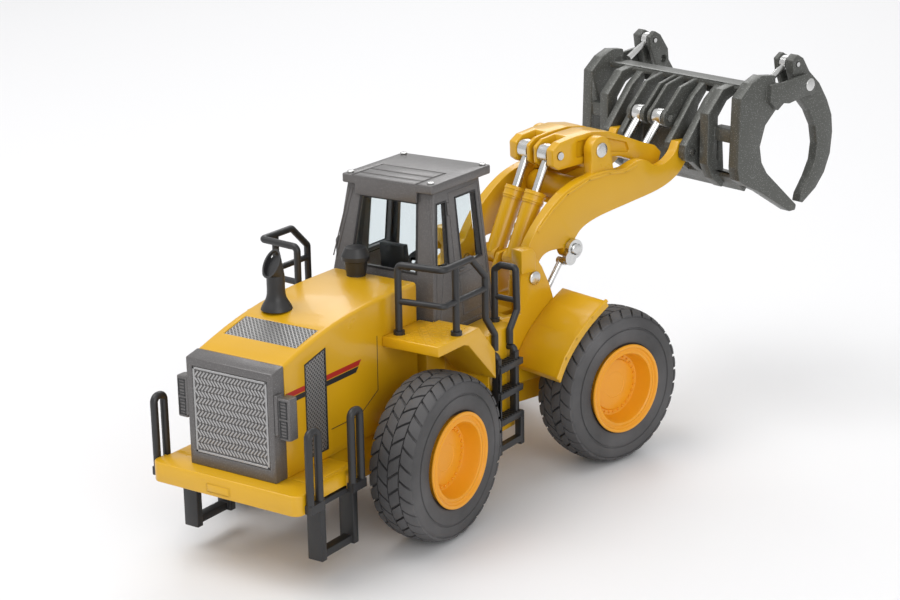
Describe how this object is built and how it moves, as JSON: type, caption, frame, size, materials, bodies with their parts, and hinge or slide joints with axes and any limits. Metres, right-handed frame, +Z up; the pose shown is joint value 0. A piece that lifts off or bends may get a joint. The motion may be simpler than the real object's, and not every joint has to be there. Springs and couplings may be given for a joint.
{
  "type": "toy articulated log loader",
  "caption": "Toy four-wheel articulated log loader: hinged chassis, cab with rails and ladders, lift arms with rods and bellcranks, and a clamping log grapple",
  "frame": {"origin": "middle of the bounding box's footprint, on the ground under the tyres", "axes": "+X from the rear bumper towards the grapple, +Y to the machine's left, +Z up"},
  "size_m": [0.2044, 0.0926, 0.0957],
  "materials": {
    "yellow_paint": "glossy yellow-ochre enamel on die-cast metal and moulded plastic",
    "orange_plastic": "satin orange-yellow moulded plastic",
    "charcoal_paint": "fine metallic charcoal paint, satin",
    "black_plastic": "black moulded plastic, semi-matt",
    "etched_mesh": "dark and bright etched lattice on thin metal plate",
    "grapple_paint": "dark grey hammered paint with fine bright speckle on die-cast metal",
    "bright_steel": "bright plated steel",
    "tyre_rubber": "black rubber, matt, moulded block tread",
    "window_glass": "thin clear window plastic"
  },
  "bodies": {
    "chassis": {"rear_chassis": "yellow_paint", "base_plate": "black_plastic", "articulation_pin": "bright_steel", "counterweight": "yellow_paint", "engine_hood": "yellow_paint", "hood_side_meshes": "etched_mesh", "hood_top_mesh": "etched_mesh", "grille_frame": "charcoal_paint", "grille_mesh": "charcoal_paint", "tail_lamps": "charcoal_paint", "exhaust_stack": "black_plastic", "air_precleaner": "black_plastic", "cab_frame": "charcoal_paint", "cab_roof": "charcoal_paint", "cab_glazing": "window_glass", "cab_floor": "black_plastic", "operator_seat": "black_plastic", "steering_column": "black_plastic", "fender_right": "yellow_paint", "fender_left": "yellow_paint", "platform_rail_right": "black_plastic", "platform_rail_left": "black_plastic", "step_rail_right": "black_plastic", "step_rail_left": "black_plastic", "ladder_right": "black_plastic", "ladder_left": "black_plastic", "rear_steps": "black_plastic", "corner_rails": "black_plastic", "screws": "bright_steel"},
    "rear_wheels": {"rear_axle": "bright_steel", "rear_rims": "orange_plastic", "rear_tyre_right": "tyre_rubber", "rear_tyre_left": "tyre_rubber"},
    "front": {"front_frame": "yellow_paint", "front_fender_right": "yellow_paint", "front_fender_left": "yellow_paint", "frame_pins": "bright_steel"},
    "front_wheels": {"front_axle": "bright_steel", "front_rims": "orange_plastic", "front_tyre_right": "tyre_rubber", "front_tyre_left": "tyre_rubber"},
    "boom": {"lift_arm_right": "yellow_paint", "lift_arm_left": "yellow_paint", "boom_cross_member": "yellow_paint", "boom_pins": "bright_steel"},
    "bellcranks": {"bellcrank_right": "yellow_paint", "bellcrank_left": "yellow_paint"},
    "tilt_pins": {"tilt_pins": "bright_steel"},
    "tilt_barrels": {"tilt_barrels": "yellow_paint"},
    "tilt_rods": {"tilt_rods": "bright_steel"},
    "tilt_links": {"tilt_links": "bright_steel"},
    "lift_barrels": {"lift_barrels": "yellow_paint"},
    "lift_rods": {"lift_rods": "bright_steel"},
    "grapple": {"grapple_frame": "grapple_paint", "grapple_pins": "bright_steel"},
    "clamp_right": {"clamp_arm_right": "grapple_paint"},
    "clamp_left": {"clamp_arm_left": "grapple_paint"},
    "clamp_rod_right": {"clamp_rod_right": "bright_steel"},
    "clamp_rod_left": {"clamp_rod_left": "bright_steel"}
  },
  "joints": [
    {"name": "rear_axle_spin", "type": "hinge", "parent": "chassis", "child": "rear_wheels", "pos_m": [-0.05632, 0.01337, 0.02], "axis": [0, 1, 0], "continuous": true},
    {"name": "steer", "type": "hinge", "parent": "chassis", "child": "front", "pos_m": [-0.01992, 0.01337, 0.0268], "axis": [0, 0, 1], "range_deg": [-9.6, 40.4]},
    {"name": "front_axle_spin", "type": "hinge", "parent": "front", "child": "front_wheels", "pos_m": [0.01517, 0.00371, 0.02], "axis": [0.2656, 0.9641, 0], "continuous": true},
    {"name": "lift", "type": "hinge", "parent": "front", "child": "boom", "pos_m": [0.00032, 0.0078, 0.0486], "axis": [-0.2656, -0.9641, 0], "range_deg": [-35, 20]},
    {"name": "lift_barrel_pivot", "type": "hinge", "parent": "front", "child": "lift_barrels", "pos_m": [-0.00016, 0.00793, 0.0315], "axis": [-0.2656, -0.9641, 0], "range_deg": [-16.93, 9.76]},
    {"name": "lift_rod_pivot", "type": "hinge", "parent": "boom", "child": "lift_rods", "pos_m": [0.01517, 0.00371, 0.0528], "axis": [-0.2656, -0.9641, 0], "range_deg": [-10.9, 18.92]},
    {"name": "tilt_barrel_pivot", "type": "hinge", "parent": "front", "child": "tilt_barrels", "pos_m": [0.00418, 0.00673, 0.0502], "axis": [-0.2656, -0.9641, 0], "range_deg": [-39.63, 22.73]},
    {"name": "tilt", "type": "hinge", "parent": "boom", "child": "grapple", "pos_m": [0.05509, -0.00729, 0.0714], "axis": [-0.2656, -0.9641, 0], "range_deg": [-30, 20]},
    {"name": "bellcrank_pivot", "type": "hinge", "parent": "boom", "child": "bellcranks", "pos_m": [0.02635, 0.00063, 0.0762], "axis": [-0.2656, -0.9641, 0], "range_deg": [-4.47, 6.6]},
    {"name": "tilt_pin_turn", "type": "hinge", "parent": "bellcranks", "child": "tilt_pins", "pos_m": [0.01575, 0.00355, 0.0758], "axis": [-0.2656, -0.9641, 0], "range_deg": [-4.5, 2.66]},
    {"name": "tilt_rod_pivot", "type": "hinge", "parent": "tilt_pins", "child": "tilt_rods", "pos_m": [0.01575, 0.00355, 0.0758], "axis": [-0.2656, -0.9641, 0], "range_deg": [-8.93, 6.02]},
    {"name": "tilt_link_pivot", "type": "hinge", "parent": "grapple", "child": "tilt_links", "pos_m": [0.05566, -0.00745, 0.0791], "axis": [-0.2656, -0.9641, 0], "range_deg": [-4.17, 6.15]},
    {"name": "clamp_right_open", "type": "hinge", "parent": "grapple", "child": "clamp_right", "pos_m": [0.07566, -0.04179, 0.0875], "axis": [-0.2656, -0.9641, 0], "range_deg": [0, 50]},
    {"name": "clamp_rod_right_pivot", "type": "hinge", "parent": "clamp_right", "child": "clamp_rod_right", "pos_m": [0.07285, -0.03842, 0.0932], "axis": [-0.2656, -0.9641, 0], "range_deg": [-63.2, 0.2]},
    {"name": "clamp_left_open", "type": "hinge", "parent": "grapple", "child": "clamp_left", "pos_m": [0.09043, 0.01181, 0.0875], "axis": [-0.2656, -0.9641, 0], "range_deg": [0, 50]},
    {"name": "clamp_rod_left_pivot", "type": "hinge", "parent": "clamp_left", "child": "clamp_rod_left", "pos_m": [0.08629, 0.01036, 0.0932], "axis": [-0.2656, -0.9641, 0], "range_deg": [-63.2, 0.2]}
  ],
  "couplings": [
    {"joint": "lift_barrel_pivot", "follows": "lift", "ratio": 0.4779},
    {"joint": "lift_rod_pivot", "follows": "lift", "ratio": -0.5349},
    {"joint": "tilt_barrel_pivot", "follows": "lift", "ratio": 1.1266},
    {"joint": "tilt_pin_turn", "follows": "lift", "ratio": 0.1228},
    {"joint": "bellcrank_pivot", "follows": "tilt", "ratio": -0.2133},
    {"joint": "tilt_link_pivot", "follows": "tilt", "ratio": -0.1984},
    {"joint": "tilt_rod_pivot", "follows": "tilt", "ratio": 0.291},
    {"joint": "clamp_rod_right_pivot", "follows": "clamp_right_open", "ratio": -1.26},
    {"joint": "clamp_rod_left_pivot", "follows": "clamp_left_open", "ratio": -1.26}
  ]
}
